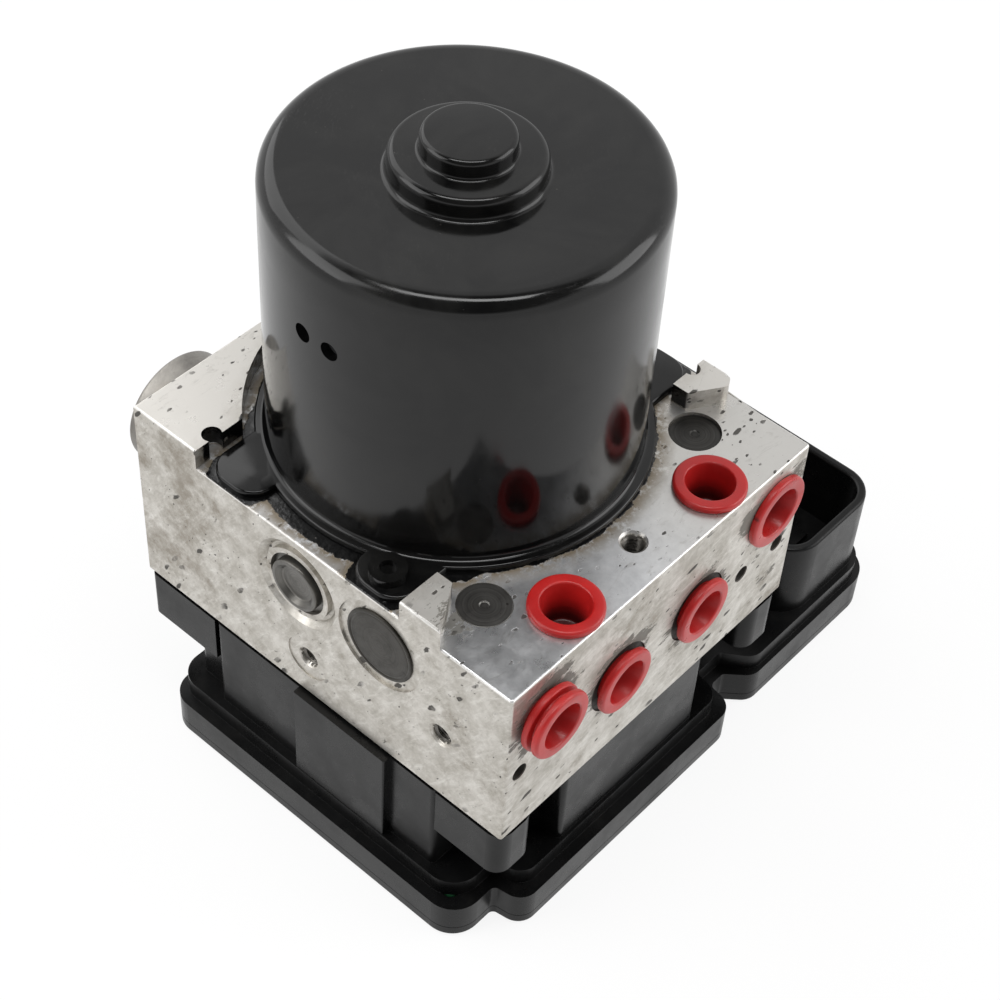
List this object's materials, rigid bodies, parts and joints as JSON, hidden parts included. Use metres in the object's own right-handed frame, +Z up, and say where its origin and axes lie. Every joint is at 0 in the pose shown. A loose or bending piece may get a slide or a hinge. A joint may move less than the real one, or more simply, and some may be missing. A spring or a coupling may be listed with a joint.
{
  "type": "abs brake module",
  "caption": "Anti-lock brake hydraulic unit: machined block with plugged ports, round pump motor on top and a moulded control unit with connector shroud below.",
  "frame": {"origin": "where the motor axis meets the resting plane, which is the underside of the control unit's cover", "axes": "+X along the front port face towards the connector, +Y from the port face to the back face, +Z up along the motor axis"},
  "size_m": [0.1552, 0.1224, 0.1735],
  "materials": {
    "block_aluminium": "satin",
    "plug_red": "gloss",
    "dark_steel": "satin",
    "light_steel": "satin",
    "spring_steel": "satin",
    "valve_steel": "satin",
    "black_paint": "gloss",
    "housing_black": "satin",
    "seal_rubber": "matte",
    "core_iron": "matte",
    "copper": "satin",
    "magnet_ferrite": "matte",
    "brush_carbon": "matte",
    "board_green": "satin",
    "contact_tin": "satin"
  },
  "bodies": {
    "unit": {"accumulator_cap_left": "block_aluminium", "accumulator_cap_right": "block_aluminium", "accumulator_spring_left": "spring_steel", "accumulator_spring_right": "spring_steel", "brush_front": "brush_carbon", "brush_rear": "brush_carbon", "brush_spring_front": "spring_steel", "brush_spring_rear": "spring_steel", "circuit_board": "board_green", "closing_disc_left": "dark_steel", "closing_disc_right": "dark_steel", "coil_carrier": "housing_black", "connector_pins": "contact_tin", "damper_cap_left": "dark_steel", "damper_cap_right": "dark_steel", "ecu_cover": "housing_black", "ecu_gasket": "seal_rubber", "ecu_housing": "housing_black", "ecu_screws": "light_steel", "front_bearing": "light_steel", "hydraulic_block": "block_aluminium", "magnet_left": "magnet_ferrite", "magnet_right": "magnet_ferrite", "motor_can": "black_paint", "motor_end_plate": "block_aluminium", "motor_lead": "housing_black", "motor_screws": "black_paint", "motor_seal": "seal_rubber", "pin_header": "housing_black", "port_plug_1": "plug_red", "port_plug_2": "plug_red", "port_plug_3": "plug_red", "port_plug_4": "plug_red", "port_plug_5": "plug_red", "port_plug_6": "plug_red", "power_blades": "contact_tin", "pump_cap_left": "light_steel", "pump_cap_right": "light_steel", "pump_spring_left": "spring_steel", "pump_spring_right": "spring_steel", "rear_bearing": "light_steel", "valve_1": "valve_steel", "valve_2": "valve_steel", "valve_3": "valve_steel", "valve_4": "valve_steel", "valve_5": "valve_steel", "valve_6": "valve_steel", "valve_7": "valve_steel", "valve_8": "valve_steel"},
    "rotor": {"rotor_shaft": "light_steel", "armature_core": "core_iron", "armature_winding": "copper", "commutator": "copper"},
    "eccentric_ring": {"eccentric_ring": "light_steel"},
    "pump_piston_left": {"pump_piston_left": "light_steel"},
    "accumulator_piston_left": {"accumulator_piston_left": "light_steel"},
    "pump_piston_right": {"pump_piston_right": "light_steel"},
    "accumulator_piston_right": {"accumulator_piston_right": "light_steel"}
  },
  "joints": [
    {"name": "rotor_spin", "type": "hinge", "parent": "unit", "child": "rotor", "pos_m": [0, 0, 0.0793], "axis": [0, 0, 1], "continuous": true},
    {"name": "eccentric_ring_spin", "type": "hinge", "parent": "rotor", "child": "eccentric_ring", "pos_m": [0.001, 0, 0.0793], "axis": [0, 0, 1], "continuous": true},
    {"name": "pump_piston_left_slide", "type": "slide", "parent": "unit", "child": "pump_piston_left", "axis": [-1, 0, 0], "range_m": [0, 0.002], "stiffness_N_per_m": 1500, "springref_m": -0.002, "deforming": ["pump_spring_left"]},
    {"name": "pump_piston_right_slide", "type": "slide", "parent": "unit", "child": "pump_piston_right", "axis": [1, 0, 0], "range_m": [0, 0.002], "stiffness_N_per_m": 1500, "springref_m": -0.002, "deforming": ["pump_spring_right"]},
    {"name": "accumulator_piston_left_slide", "type": "slide", "parent": "unit", "child": "accumulator_piston_left", "axis": [0, 1, 0], "range_m": [0, 0.006], "stiffness_N_per_m": 3000, "springref_m": -0.003, "deforming": ["accumulator_spring_left"]},
    {"name": "accumulator_piston_right_slide", "type": "slide", "parent": "unit", "child": "accumulator_piston_right", "axis": [0, 1, 0], "range_m": [0, 0.006], "stiffness_N_per_m": 3000, "springref_m": -0.003, "deforming": ["accumulator_spring_right"]}
  ]
}
